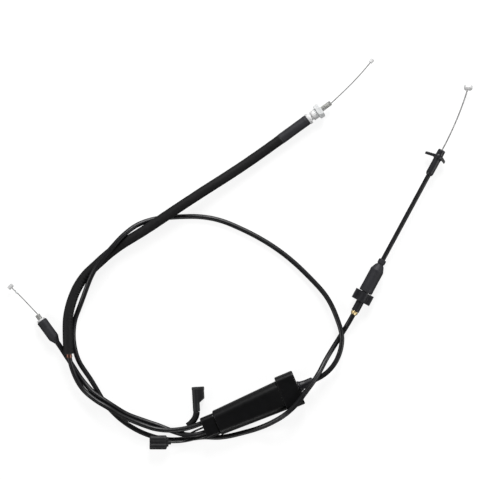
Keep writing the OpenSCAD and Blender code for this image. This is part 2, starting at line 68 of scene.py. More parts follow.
MM = 0.001
TURN = 2 * math.pi
X = np.array([1.0, 0.0, 0.0])
UP = np.array([0.0, 0.0, 1.0])
SHARP = math.radians(38)
# Radius that stands for a point on the axis of a turned solid
POLE = 0.02 * MM
MOUNTS = {m["name"]: m for m in frame["record"]["mounts"]}
SLOTS = {s["node"]: s["material_slot"] for s in frame["record"]["subparts"]}
BODY = {node: body for body, nodes in frame["record"]["behaviour"]["bodies"].items() for node in nodes}


# ---- Measuring the frame ----


def unit(v):
    v = np.asarray(v, float)
    return v / np.linalg.norm(v)


def vertices(node):
    return np.array([v.co for v in frame["nodes"][node].data.vertices], float)


class Axis:
    """A straight line with its own stations, and directions to its left and up."""

    def __init__(self, origin, along, left=None):
        self.o, self.t = np.asarray(origin, float), unit(along)
        self.left = unit(np.cross(UP, self.t) if left is None else left)
        self.up = np.cross(self.t, self.left)

    @staticmethod
    def of_mount(name):
        return Axis(MOUNTS[name]["pos_m"], MOUNTS[name]["axis"])

    def at(self, s, y=0.0, z=0.0):
        return self.o + s * self.t + y * self.left + z * self.up

    def ring(self, s):
        return self.at(s), self.up, self.left

    def local(self, node):
        """A node's vertices as station, left and up."""
        v = vertices(node) - self.o
        return np.column_stack([v @ self.t, v @ self.left, v @ self.up])

    def span(self, node):
        s = self.local(node)[:, 0]
        return s.min(), s.max()

    def radius(self, node):
        return np.linalg.norm(self.local(node)[:, 1:], axis=1).max()


class Line:
    """A smooth centre line through points, with stations measured along it."""

    STEP = 1.0 * MM

    def __init__(self, points, softness=2.5 * MM):
        p = np.asarray(points, float)
        s = np.r_[0, np.cumsum(np.linalg.norm(np.diff(p, axis=0), axis=1))]
        count = max(8, int(s[-1] / self.STEP))
        self.s = np.linspace(0, s[-1], count + 1)
        p = np.column_stack([np.interp(self.s, s, p[:, k]) for k in range(3)])
        if softness:
            reach = int(4 * softness / self.STEP)
            # The line is carried on past both ends, so that smoothing doesn't shorten it
            head = 2 * p[0] - p[1:reach + 1][::-1]
            tail = 2 * p[-1] - p[-reach - 1:-1][::-1]
            weights = np.exp(-0.5 * (np.arange(-reach, reach + 1) * self.STEP / softness) ** 2)
            weights /= weights.sum()
            longer = np.vstack([head, p, tail])
            p = np.column_stack([np.convolve(longer[:, k], weights, "valid") for k in range(3)])
        self.p = p
        self.length = self.s[-1]
        self.t = np.gradient(p, self.s, axis=0)
        self.t /= np.linalg.norm(self.t, axis=1)[:, None]
        self.bend = np.gradient(self.t, self.s, axis=0)

    def at(self, s, of=None):
        of = self.p if of is None else of
        return np.array([np.interp(s, self.s, of[:, k]) for k in range(3)])

    def ring(self, s):
        t = unit(self.at(s, self.t))
        left = unit(np.cross(UP, t))
        return self.at(s), np.cross(t, left), left


def centre(tree, p, t, reach):
    """Middle of the tube or rod round p, felt out with rays across t, or None past its end."""
    a = unit(np.cross(t, UP))
    b = np.cross(t, a)
    rays, hits = 16, []
    for k in range(rays):
        d = a * math.cos(TURN * k / rays) + b * math.sin(TURN * k / rays)
        hit = tree.ray_cast(Vector(p), Vector(d), reach)[0]
        if hit is None:
            return None
        hits.append(hit)
    # From a point off the middle, the mean of the hits lies half way to it
    return p + 2 * (np.mean(hits, axis=0) - p)


def ray_tree(node):
    mesh = frame["nodes"][node].data
    return BVHTree.FromPolygons([v.co for v in mesh.vertices], [p.vertices[:] for p in mesh.polygons])


def feel(node, seed, along, reach):
    """Centre line of a swept node, from its end behind the seed to its end ahead."""
    tree = ray_tree(node)

    def march(t):
        p, out, step = centre(tree, np.asarray(seed, float), t, reach), [], 1.5 * MM
        while step > 0.02 * MM:
            q = centre(tree, p + step * t, t, reach)
            if q is None:
                step /= 2
                continue
            t, p = unit(q - p) if step > 0.5 * MM else t, q
            out.append(p)
        return out

    back, ahead = march(-unit(along)), march(unit(along))
    return back[::-1] + [centre(tree, np.asarray(seed, float), unit(along), reach)] + ahead


# ---- Meshes ----


def shade(piece):
    """Smooth shading, except at edges that turn hard."""
    piece.data.polygons.foreach_set("use_smooth", [True] * len(piece.data.polygons))
    piece.data.set_sharp_from_angle(angle=SHARP)


def shown(name, mesh):
    piece = bpy.data.objects.new(name, mesh)
    bpy.context.scene.collection.objects.link(piece)
    shade(piece)
    return piece


def finish_mesh(name, verts, faces, stations):
    """Piece from points and faces. Each point keeps its station, for patterns that follow it."""
    mesh = bpy.data.meshes.new(name)
    mesh.from_pydata([tuple(v) for v in verts], [], faces)
    work = bmesh.new()
    work.from_mesh(mesh)
    bmesh.ops.recalc_face_normals(work, faces=work.faces)
    work.to_mesh(mesh)
    work.free()
    mesh.attributes.new("along", "FLOAT", "POINT").data.foreach_set("value", stations.astype(np.float32))
    return shown(name, mesh)


def grid(name, loops, stations, closed=False):
    """Skin over loops of points. A closed skin joins its last loop to its first; an open one is capped."""
    count, around = len(loops), len(loops[0])
    verts = np.vstack(loops)
    faces = []
    for i in range(count if closed else count - 1):
        a, b = i * around, (i + 1) % count * around
        faces += [(a + k, a + (k + 1) % around, b + (k + 1) % around, b + k) for k in range(around)]
    if not closed:
        faces += [tuple(range(around)), tuple(range((count - 1) * around, count * around))]
    return finish_mesh(name, verts, faces, np.repeat(stations, around))


def skin(name, line, rings, around=48, closed=False, twist=0.0):
    """Skin of rings round a line. Each ring is (station, radius), and a radius may follow the angle."""
    base = np.arange(around) * TURN / around
    loops = []
    for s, r in rings:
        p, up, left = line.ring(s)
        angle = base + twist * s
        radius = r(angle) if callable(r) else np.full(around, float(r))
        loops.append(p + np.outer(radius * np.cos(angle), up) + np.outer(radius * np.sin(angle), left))
    return grid(name, loops, [s for s, _ in rings], closed)


def rounded(points, cut, steps, closed):
    """Outline with every corner turned into a small curve that starts cut away from it."""
    p = [np.asarray(q, float) for q in points]
    out, most = [], 0.45
    for i, q in enumerate(p):
        if not closed and i in (0, len(p) - 1):
            out.append(q)
            continue
        a, b = p[i - 1] - q, p[(i + 1) % len(p)] - q
        la, lb = np.linalg.norm(a), np.linalg.norm(b)
        a, b = a / la * min(cut, most * la), b / lb * min(cut, most * lb)
        for k in range(steps + 1):
            u = k / steps
            out.append(q + (1 - u) ** 2 * a + u ** 2 * b)
    return out


def turned_solid(name, axis, profile, cut=0.25 * MM, around=64, steps=3):
    """Solid part turned round an axis, from its open outline as [station, radius]."""
    profile = [(profile[0][0], POLE)] + list(profile) + [(profile[-1][0], POLE)]
    return skin(name, axis, rounded(profile, cut, steps, closed=False), around)


def box_piece(name, low, high, round_by):
    """Block with rounded edges between its low and high corners."""
    work = bmesh.new()
    bmesh.ops.create_cube(work, size=1)
    low, high = np.asarray(low, float), np.asarray(high, float)
    for v in work.verts:
        v.co = Vector((low + high) / 2 + np.array(v.co) * (high - low))
    bmesh.ops.bevel(work, geom=work.edges[:], offset=round_by, segments=3, profile=0.5, affect="EDGES")
    bmesh.ops.recalc_face_normals(work, faces=work.faces)
    mesh = bpy.data.meshes.new(name)
    work.to_mesh(mesh)
    work.free()
    return shown(name, mesh)


def combine(piece, others, how):
    """Joins other closed pieces to this one, or cuts them out of it."""
    for other in others:
        step = piece.modifiers.new(how, "BOOLEAN")
        step.object, step.operation, step.solver = other, how, "EXACT"
        bpy.context.view_layer.update()
        evaluated = piece.evaluated_get(bpy.context.evaluated_depsgraph_get())
        mesh = bpy.data.meshes.new_from_object(evaluated)
        piece.modifiers.clear()
        piece.data = mesh
        bpy.data.objects.remove(other)
    shade(piece)
    return piece


def weighted(piece):
    """Keeps flat faces flat beside their small rounded edges."""
    piece.modifiers.new("even_shading", "WEIGHTED_NORMAL").keep_sharp = True
    return piece


def dress(thing, node):
    """Gives an object the finish of this node."""
    thing.data.materials.clear()
    thing.data.materials.append(finish_for(node))


def place(piece, node):
    """The piece rides on its node's body, stands for the node and takes its slot and finish."""
    dress(piece, node)
    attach(piece, BODY[node])
    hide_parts(node)


# ---- Materials ----


class Finish:
    """One node material: a principled surface with colour and roughness that vary and a fine relief."""

    def __init__(self, name, metallic=0.0, specular=0.5):
        self.material = bpy.data.materials.new(name)
        self.material.use_nodes = True
        self.nodes, self.links = self.material.node_tree.nodes, self.material.node_tree.links
        self.surface = self.nodes["Principled BSDF"]
        self.surface.inputs["Metallic"].default_value = metallic
        self.surface.inputs["Specular IOR Level"].default_value = specular
        self.place = self.nodes.new("ShaderNodeTexCoord").outputs["Object"]
        self.relief = None

    def noise(self, size, detail):
        """Noise whose features are about this size in metres."""
        node = self.nodes.new("ShaderNodeTexNoise")
        node.inputs["Scale"].default_value = 1 / size
        node.inputs["Detail"].default_value = detail
        self.links.new(self.place, node.inputs["Vector"])
        return node.outputs["Fac"]

    def ramp(self, value, stops):
        """Colour ramp from [(position, colour or grey)]."""
        node = self.nodes.new("ShaderNodeValToRGB")
        ramp = node.color_ramp
        while len(ramp.elements) < len(stops):
            ramp.elements.new(0.5)
        for element, (position, colour) in zip(ramp.elements, stops):
            colour = (colour,) * 3 if isinstance(colour, (int, float)) else colour
            element.position, element.color = position, (*colour, 1)
        self.links.new(value, node.inputs["Fac"])
        return node.outputs["Color"]

    def mix(self, share, a, b, how="MIX"):
        node = self.nodes.new("ShaderNodeMix")
        node.data_type, node.blend_type = "RGBA", how
        for socket, value in ((0, share), (6, a), (7, b)):
            if isinstance(value, (int, float)):
                node.inputs[socket].default_value = value
            elif isinstance(value, tuple):
                node.inputs[socket].default_value = (*value, 1)
            else:
                self.links.new(value, node.inputs[socket])
        return node.outputs[2]

    def colour(self, output):
        self.links.new(output, self.surface.inputs["Base Color"])

    def roughness(self, value, low, high):
        node = self.nodes.new("ShaderNodeMapRange")
        node.inputs["To Min"].default_value, node.inputs["To Max"].default_value = low, high
        self.links.new(value, node.inputs["Value"])
        self.links.new(node.outputs["Result"], self.surface.inputs["Roughness"])

    def bump(self, height, depth):
        """Relief of this depth in metres, on top of any relief that is already there."""
        node = self.nodes.new("ShaderNodeBump")
        node.inputs["Distance"].default_value = depth
        self.links.new(height, node.inputs["Height"])
        if self.relief:
            self.links.new(self.relief, node.inputs["Normal"])
        self.relief = node.outputs["Normal"]
        self.links.new(self.relief, self.surface.inputs["Normal"])

    def glow(self, strength):
        """Light of its own that only the camera sees."""
        path = self.nodes.new("ShaderNodeLightPath")
        level = self.nodes.new("ShaderNodeMapRange")
        level.inputs["To Max"].default_value = strength
        self.links.new(path.outputs["Is Camera Ray"], level.inputs["Value"])
        self.links.new(level.outputs["Result"], self.surface.inputs["Emission Strength"])
        self.surface.inputs["Emission Color"].default_value = (1, 1, 1, 1)

    def edges(self):
        """High on rounded edges, where a highlight is painted in a lighter colour."""
        geometry = self.nodes.new("ShaderNodeNewGeometry")
        return self.ramp(geometry.outputs["Pointiness"], [(0.5, 0.0), (0.58, 1.0)])

    def along(self, pitch):
        """Wave along a swept piece, with this pitch in metres."""
        station = self.nodes.new("ShaderNodeAttribute")
        station.attribute_name = "along"
        angle = self.nodes.new("ShaderNodeMath")
        angle.operation = "MULTIPLY"
        angle.inputs[1].default_value = TURN / pitch
        wave = self.nodes.new("ShaderNodeMath")
        wave.operation = "SINE"
        self.links.new(station.outputs["Fac"], angle.inputs[0])
        self.links.new(angle.outputs[0], wave.inputs[0])
        return wave.outputs[0]


def plastic(name, dark, light, rough, grain=0.25 * MM, depth=0.01 * MM, specular=0.4, edge_highlight=0.5):
    """Black or coloured moulding: clouded colour, fine spark texture, and a highlight painted lighter on its
    rounded edges.
    """
    f = Finish(name, specular=specular)
    cloud = f.ramp(f.noise(9 * MM, 5), [(0.3, dark), (0.72, light)])
    speck = f.ramp(f.noise(grain, 2), [(0.4, 0.82), (0.7, 1.12)])
    body = f.mix(1.0, cloud, speck, "MULTIPLY")
    # Painted highlight: a lighter copy of the colour, laid over the rounded edges
    edge_highlight_colour = tuple(min(1, 2.2 * c + 0.01) for c in light)
    share = f.mix(1.0, f.edges(), (edge_highlight, edge_highlight, edge_highlight), "MULTIPLY")
    f.colour(f.mix(share, body, edge_highlight_colour))
    f.roughness(f.noise(3 * MM, 4), *rough)
    f.bump(f.noise(grain, 2), depth)
    return f.material


def metal(name, dark, light, rough, bare, tint=None, grain=0.3 * MM, depth=0.004 * MM):
    """Metal with fine grain, patches of tarnish and a soft shine. Less bare is dull with oxide."""
    f = Finish(name, metallic=bare)
    patches = f.ramp(f.noise(4 * MM, 5), [(0.35, dark), (0.65, light)])
    if tint:
        patches = f.mix(f.ramp(f.noise(2.5 * MM, 2), [(0.45, 0.0), (0.7, 0.5)]), patches, tint)
    f.colour(f.mix(1.0, patches, f.ramp(f.noise(grain, 3), [(0.3, 0.88), (0.7, 1.0)]), "MULTIPLY"))
    f.roughness(f.noise(1.2 * MM, 4), *rough)
    f.bump(f.noise(grain, 3), depth)
    return f.material


def casing_material():
    """Extruded sheath whose spiral liner shows through as a faint ribbing."""
    f = Finish("casing_sheath", specular=0.45)
    f.colour(f.ramp(f.noise(12 * MM, 5), [(0.3, (0.003, 0.003, 0.004)), (0.7, (0.007, 0.007, 0.008))]))
    f.roughness(f.noise(5 * MM, 5), 0.34, 0.5)
    f.bump(f.along(2.4 * MM), 0.006 * MM)
    f.bump(f.noise(0.8 * MM, 4), 0.008 * MM)
    return f.material


def sleeve_material():
    """Soft vinyl tube: matt and dusty, with a highlight painted paler on the ridges of its creases."""
    f = Finish("sleeve_vinyl", specular=0.15)
    cloud = f.ramp(f.noise(16 * MM, 6), [(0.3, (0.002, 0.002, 0.0023)), (0.75, (0.0048, 0.0043, 0.0048))])
    # Painted highlight: the ridges of the creases are painted a paler grey
    f.colour(f.mix(f.edges(), cloud, (0.05, 0.05, 0.05)))
    f.roughness(f.noise(4 * MM, 5), 0.5, 0.7)
    f.bump(f.noise(0.45 * MM, 4), 0.014 * MM)
    f.bump(f.noise(6 * MM, 3), 0.05 * MM)
    return f.material


# One finish for each slot: its darkest and lightest colour and its range of roughness come first
MATERIALS = {
    "casing_pvc": casing_material(),
    "sleeve_vinyl": sleeve_material(),
    "boot_rubber": plastic("boot_rubber", (0.013, 0.013, 0.016), (0.024, 0.024, 0.028), (0.5, 0.66),
                           grain=0.35 * MM, depth=0.012 * MM, specular=0.35, edge_highlight=0.35),
    "moulded_plastic": plastic("moulded_plastic", (0.008, 0.008, 0.01), (0.017, 0.017, 0.02), (0.34, 0.5)),
    "box_plastic": plastic("box_plastic", (0.0018, 0.0018, 0.002), (0.0035, 0.0035, 0.004), (0.3, 0.4),
                           grain=0.22 * MM, depth=0.006 * MM, edge_highlight=0.3),
    "nylon": plastic("nylon", (0.62, 0.6, 0.52), (0.76, 0.74, 0.66), (0.35, 0.5),
                     grain=0.3 * MM, depth=0.006 * MM, specular=0.5, edge_highlight=0.1),
    "lead_pvc": plastic("lead_pvc", (0.008, 0.008, 0.008), (0.016, 0.016, 0.017), (0.22, 0.34),
                        grain=0.5 * MM, depth=0.004 * MM, specular=0.5, edge_highlight=0.1),
    "zinc_plate": metal("zinc_plate", (0.78, 0.79, 0.8), (0.93, 0.94, 0.95), (0.4, 0.54), 0.3,
                        tint=(0.86, 0.88, 0.84)),
    "cast_zinc": metal("cast_zinc", (0.62, 0.62, 0.62), (0.78, 0.78, 0.78), (0.5, 0.64), 0.3,
                       grain=0.35 * MM, depth=0.012 * MM),
    "steel_wire": metal("steel_wire", (0.26, 0.26, 0.26), (0.42, 0.42, 0.42), (0.35, 0.5), 0.6,
                        tint=(0.3, 0.28, 0.26)),
    "brass": metal("brass", (0.7, 0.52, 0.24), (0.94, 0.8, 0.48), (0.3, 0.44), 0.7, tint=(0.58, 0.42, 0.18)),
    "copper": metal("copper", (0.16, 0.07, 0.05), (0.26, 0.13, 0.09), (0.3, 0.46), 0.8,
                    tint=(0.12, 0.05, 0.035)),
}

# Connectors are darker and slicker than the boots. Cut threads are duller than the plated faces beside them
CONNECTOR = plastic("connector_rubber", (0.006, 0.006, 0.007), (0.013, 0.013, 0.014), (0.46, 0.6),
                    grain=0.3 * MM, specular=0.3)
CUT_THREAD = metal("cut_thread", (0.4, 0.4, 0.4), (0.58, 0.58, 0.56), (0.5, 0.64), 0.4,
                   tint=(0.44, 0.44, 0.4))


def finish_for(node):
    if node.endswith("_connector"):
        return CONNECTOR
    return CUT_THREAD if node.endswith("_stud") else MATERIALS[SLOTS[node]]


# ---- Flexible parts ----


def bore_and_radius(node, line):
    """Inner and outer radius of a swept node, felt out at its middle."""
    p, up, _ = line.ring(line.length / 2)
    tree = ray_tree(node)
    first = tree.ray_cast(Vector(p), Vector(up))[3]
    second = tree.ray_cast(Vector(p + up * (first + 0.01 * MM)), Vector(up), 4 * MM)
    return first, first + 0.01 * MM + second[3] if second[0] is not None else first


def casing(node, seed, along):
    """Sheathed casing with trimmed ends, as a hollow tube along the CAD centre line."""
    line = Line(feel(node, seed, along, 2.3 * MM))
    bore, r = bore_and_radius(node, line)
    lip, n = 0.35 * MM, int(line.length / (2.2 * MM))
    outer = [(s, r) for s in np.linspace(lip, line.length - lip, n)]
    inner = [(s, bore) for s in np.linspace(line.length - lip, lip, n)]
    rings = [(0, r - lip), (0.1 * lip, r - 0.4 * lip)] + outer
    rings += [(line.length - 0.1 * lip, r - 0.4 * lip), (line.length, r - lip), (line.length, bore)]
    rings += inner + [(0, bore)]
    place(skin(node + "_sheath", line, rings, 28, closed=True), node)
    return line


def stranded(node, line, start=0.0):
    """Wire rope: lobes that twist along the line, once round in seven times its diameter."""
    _, r = bore_and_radius(node, line)
    strands, pitch = 6, 7 * 2 * r

    def lobes(angle, at):
        phase = (angle - TURN * at / pitch) * strands
        return r * (0.9 + 0.1 * np.abs(np.cos(phase / 2)) ** 0.7)

    rings = [(start, lambda a: 0.7 * lobes(a, start))]
    for s in np.arange(start, line.length, 0.45 * MM):
        rings.append((s, lambda a, s=s: lobes(a, s)))
    rings.append((line.length, lambda a: 0.7 * lobes(a, line.length)))
    piece = skin(node + "_strands", line, rings, strands * 6, twist=TURN / pitch)
    place(piece, node)


def uneven(s, angle, length, swing):
    """Noise round a surface at one station: features about this length, and more of them with more swing."""
    points = [(s / length, math.cos(a) * swing, math.sin(a) * swing) for a in angle]
    return np.array([noise.noise(Vector(q)) for q in points])


def vinyl_sleeve(node, seed, along, reach, crease=0.16 * MM, spread=0.3 * MM):
    """Loose soft tube: ends that flare a little and creases on the inside of its bends."""
    line = Line(feel(node, seed, along, reach))
    bore, r = bore_and_radius(node, line)
    sharpest = np.linalg.norm(line.bend, axis=1).max()
    flare_long, fold_pitch = 2 * MM, 3.4 * MM
    edge, trim, lip = 0.5 * MM, 0.45 * MM, 0.12 * MM

    def surface(s, base):
        """Radius round the sleeve at one station."""
        _, up, left = line.ring(s)
        bend = line.at(s, line.bend) / sharpest
        flare = spread * (math.exp(-s / flare_long) + math.exp(-(line.length - s) / flare_long))
        slow = noise.noise(Vector((s / (14 * MM), 3.0, 1.0)))

        def radius(angle):
            inside = np.clip(np.cos(angle) * (bend @ up) + np.sin(angle) * (bend @ left), 0, 1)
            fold = 0.5 + 0.5 * math.sin(TURN * s / fold_pitch + 4 * slow)
            lumps = uneven(s, angle, 5 * MM, 1.6)
            oval = 0.012 * math.cos(1.3 + s / (40 * MM)) * np.cos(2 * angle) * r
            return base + flare - 2 * crease * inside * fold + 0.6 * crease * lumps + oval

        return radius

    n = int(line.length / (0.85 * MM))
    outer = [(s, surface(s, r)) for s in np.linspace(edge, line.length - edge, n)]
    inner = [(s, surface(s, bore)) for s in np.linspace(line.length - edge, edge, n // 3)]
    rings = [(0, surface(0, r - trim)), (lip, surface(0, r - lip))] + outer
    rings += [(line.length - lip, surface(line.length, r - lip)),
              (line.length, surface(line.length, r - trim)), (line.length, surface(line.length, bore))]
    rings += inner + [(0, surface(0, bore))]
    place(skin(node + "_skin", line, rings, 40, closed=True), node)
    return line


# ---- Turned parts ----


def wall(node, axis):
    """Outline of a turned node's wall as [station, radius], cut from its mesh by a half plane on the axis."""
    tilt = math.radians(7)
    out = axis.up * math.cos(tilt) + axis.left * math.sin(tilt)

    def in_plane(v):
        d = np.array(v.co) - axis.o
        return np.array([d @ axis.t, d @ out])

    work = bmesh.new()
    work.from_mesh(frame["nodes"][node].data)
    bmesh.ops.remove_doubles(work, verts=work.verts, dist=0.001 * MM)
    cut = bmesh.ops.bisect_plane(work, geom=work.verts[:] + work.edges[:] + work.faces[:],
                                 plane_co=axis.o, plane_no=np.cross(axis.t, out))["geom_cut"]
    segments = []
    for e in [g for g in cut if isinstance(g, bmesh.types.BMEdge)]:
        a, b = [in_plane(v) for v in e.verts]
        if max(a[1], b[1]) <= 0.001 * MM:
            continue
        for low, high in ((a, b), (b, a)):
            if low[1] < 0:
                low += (high - low) * (-low[1] / (high[1] - low[1]))
        segments.append((a, b))
    work.free()
    on_axis = [p for s in segments for p in s if p[1] < 0.002 * MM]
    closed = not on_axis
    here = segments[0][0] if closed else min(on_axis, key=lambda p: p[0])
    outline = [here]
    while segments:
        ends = [(np.linalg.norm(p - here), i, k) for i, s in enumerate(segments) for k, p in enumerate(s)]
        gap, i, k = min(ends, key=lambda e: e[0])
        if gap > 0.05 * MM:
            break
        here = segments.pop(i)[1 - k]
        outline.append(here)
    if closed:
        outline.pop()
    keep = []
    for i, q in enumerate(outline):
        a, b = outline[i - 1] - q, outline[(i + 1) % len(outline)] - q
        straight = abs(a[0] * b[1] - a[1] * b[0]) < 0.004 * (np.linalg.norm(a) * np.linalg.norm(b) + 1e-12)
        if not straight or (not closed and i in (0, len(outline) - 1)):
            keep.append(q)
    return keep, closed


def resampled(outline, step, closed):
    """Outline with long edges split, so that a relief can shape them."""
    out = []
    for i, q in enumerate(outline):
        out.append(q)
        if i + 1 < len(outline) or closed:
            b = outline[(i + 1) % len(outline)]
            n = int(np.linalg.norm(b - q) / step)
            out += [q + (b - q) * k / (n + 1) for k in range(1, n + 1)]
    return out


def turned_like(node, axis, cut=0.25 * MM, around=64, relief=None, step=0.5 * MM):
    """The node's own wall turned again with rounded edges, and shaped by relief(station, radius, angles)."""
    outline, closed = wall(node, axis)
    outline = rounded(outline, cut, 3, closed)
    if not closed:
        outline[0][1] = outline[-1][1] = POLE
    if relief:
        outline = [(s, lambda a, s=s, r=r: relief(s, r, a)) for s, r in resampled(outline, step, closed)]
    place(skin(node + "_turned", axis, outline, around, closed), node)


def squarish(high, wide, power):
    """Radius of a rounded rectangle with these half sizes at an angle from up. More power is squarer."""

    def radius(angle):
        across, along = np.abs(np.sin(angle)) / wide, np.abs(np.cos(angle)) / high
        return (along ** power + across ** power) ** (-1 / power)

    return radius


def soft_max(a, b, power):
    """The larger of two radii, with a fillet where they meet. More power is a tighter one."""
    scale = np.maximum(a, b)
    return scale * ((a / scale) ** power + (b / scale) ** power) ** (1 / power)


def thread(s, angle, r, pitch, low, high):
    """Radius of a screw thread that runs out in a chamfer at both of its ends."""
    depth, root, flank = 0.61 * pitch, 0.12, 0.72
    phase = (s / pitch - angle / TURN) % 1
    tooth = np.clip((1 - 2 * np.abs(phase - 0.5) - root) / flank, 0, 1)
    run_out = r - depth + max(0.0, min(s - low, high - s))
    return np.minimum(r - depth * (1 - tooth), run_out)


def bored(low, high, bore, chamfer):
    """Rings of a bore from its high end to its low one, both chamfered."""
    return [(high, bore + chamfer), (high - chamfer, bore), (low + chamfer, bore), (low, bore + chamfer)]


def rim_turns(rim, steps):
    """Quarter circle of an edge, as [distance in from the end face, inset of the outline]."""
    return [(rim * (1 - math.cos(a)), rim * (1 - math.sin(a))) for a in np.linspace(0, TURN / 4, steps)]


def stud(node, axis):
    """Threaded stud, chamfered at both ends and bored through."""
    pitch = 1.0 * MM
    low, high = axis.span(node)
    outline, _ = wall(node, axis)
    r, bore = max(q[1] for q in outline), min(q[1] for q in outline)
    rings = [(s, lambda a, s=s: thread(s, a, r, pitch, low, high)) for s in np.arange(low, high, pitch / 9)]
    rings += [(high, lambda a: thread(high, a, r, pitch, low, high))] + bored(low, high, bore, 0.3 * MM)
    place(skin(node + "_threaded", axis, rings, 48, closed=True), node)


def lock_nut(node, axis):
    """Hexagon nut with chamfered corners and a countersunk bore."""
    low, high = axis.span(node)
    local = axis.local(node)
    reach = np.linalg.norm(local[:, 1:], axis=1)
    bore, corner = reach.min(), reach.max()
    turned_by = math.atan2(local[reach.argmax(), 1], local[reach.argmax(), 2])
    flat = corner * math.cos(TURN / 12)

    def side(depth):
        """Radius round the nut at this depth below an end face, where a cone cuts the corners off."""
        cone = 0.965 * flat + 1.75 * depth
        return lambda angle: np.minimum(flat / np.cos((angle - turned_by) % (TURN / 6) - TURN / 12), cone)

    near = np.array([0, 0.1, 0.2, 0.35, 0.5, 0.65, 0.8, 1.0]) * MM
    outer = [(low + d, side(d)) for d in near] + [(high - d, side(d)) for d in near[::-1]]
    rings = outer + bored(low, high, bore, 0.5 * MM)
    place(skin(node + "_chamfered", axis, rings, 96, closed=True), node)


def rubber_boot(node, axis, ribs, ripple=0.1 * MM):
    """Boot with moulded ribs at the given stations, and a skin that isn't quite true."""

    def relief(s, r, angle):
        rib = sum(ripple * math.exp(-((s - at) / (0.55 * MM)) ** 2) for at in ribs)
        return r + rib + 0.07 * MM * uneven(s, angle, 9 * MM, 1.2)

    turned_like(node, axis, 0.2 * MM, 56, relief)


# ---- Splitter box ----

# Small edge of a moulding, and how far a cut reaches past the face that it opens
EDGE = 0.3 * MM
PAST = 1 * MM


def section_of_moulding(y0, y1, z0, z1, top, bottom):
    """Section of a moulding: a rectangle with its top and its bottom corners rounded."""
    corners = [(y0 + bottom, z0 + bottom, bottom), (y0 + top, z1 - top, top),
               (y1 - top, z1 - top, top), (y1 - bottom, z0 + bottom, bottom)]
    out = []
    for k, (y, z, r) in enumerate(corners):
        start = TURN * (3 - k) / 4
        out += [(y + r * math.cos(a), z + r * math.sin(a)) for a in np.linspace(start, start - TURN / 4, 9)]
    return out


def ends(node):
    """(x, lowest y, highest y) of a node at its low and high X ends."""
    v = vertices(node)
    both = []
    for x in (v[:, 0].min(), v[:, 0].max()):
        y = v[np.abs(v[:, 0] - x) < 0.2 * MM][:, 1]
        both.append((x, y.min(), y.max()))
    return both


def moulding(name, low, high, z0, z1, top, bottom, rim=0.8 * MM):
    """Block lofted along X between two ends, each (x, lowest y, highest y), with rounded end faces."""
    (x0, a0, b0), (x1, a1, b1) = low, high
    turns, least = rim_turns(rim, 5), 0.2 * MM
    stations = [(x0 + d, e) for d, e in turns] + [(x0 + (x1 - x0) * k / 8, 0.0) for k in range(1, 8)]
    stations += [(x1 - d, e) for d, e in turns[::-1]]
    loops = []
    for x, inset in stations:
        u = (x - x0) / (x1 - x0)
        y0, y1 = a0 + (a1 - a0) * u + inset, b0 + (b1 - b0) * u - inset
        ring = section_of_moulding(y0, y1, z0 + inset, z1 - inset, max(top - inset, least),
                                   max(bottom - inset, least))
        loops.append(np.array([(x, y, z) for y, z in ring]))
    return grid(name, loops, [x for x, _ in stations])


def top_round(node, x):
    """Radius of a moulding's long top edges, from the width of its flat top where its outline ends at x."""
    v = vertices(node)
    v = v[np.abs(v[:, 0] - x) < 0.2 * MM]
    return v[:, 1].max() - v[v[:, 2] > v[:, 2].max() - 0.02 * MM][:, 1].max()


def hollow(node, inside):
    """Low and high corners of the hollow round a point. A side without a wall reaches past the node."""
    tree, corners = ray_tree(node), []
    for side, limit in zip((-1, 1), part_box(node)):
        corner = []
        for k in range(3):
            way = Vector((0, 0, 0))
            way[k] = side
            hit = tree.ray_cast(inside, way)[0]
            corner.append(hit[k] if hit else limit[k] + side * PAST)
        corners.append(corner)
    return corners


def hollowed(shell, node, z0, z1, top):
    """Cuts the hollow out of a shell that is closed at its low X end and open at its high one."""
    (x0, a0, b0), (x1, a1, b1) = ends(node)
    low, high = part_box(node)
    wall = hollow(node, (low + high) / 2)[0][0] - x0
    core = moulding("core", (x0 + wall, a0 + wall, b0 - wall), (x1 + PAST, a1 + wall, b1 - wall), z0, z1,
                    top, EDGE, 0.2 * MM)
    return combine(shell, [core], "DIFFERENCE")


def inlet_axis():
    low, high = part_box("inlet_tube")
    return Axis((0, (low.y + high.y) / 2, (low.z + high.z) / 2), X)


def base_and_cover():
    low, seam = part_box("box_base")
    wall = hollow("box_base", (low + seam) / 2)[0][2] - low.z
    base = moulding("box_base_shell", *ends("box_base"), low.z, seam.z, EDGE, 1.2 * MM)
    base = hollowed(base, "box_base", low.z + wall, seam.z + PAST, EDGE)
    place(weighted(base), "box_base")

    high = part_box("box_cover")[1]
    top, shadow_gap = top_round("box_cover", high.x), 0.12 * MM
    cover = moulding("box_cover_shell", *ends("box_cover"), seam.z + shadow_gap, high.z, top, EDGE)
    cover = hollowed(cover, "box_cover", seam.z - PAST, high.z - wall, top - wall)
    place(weighted(cover), "box_cover")


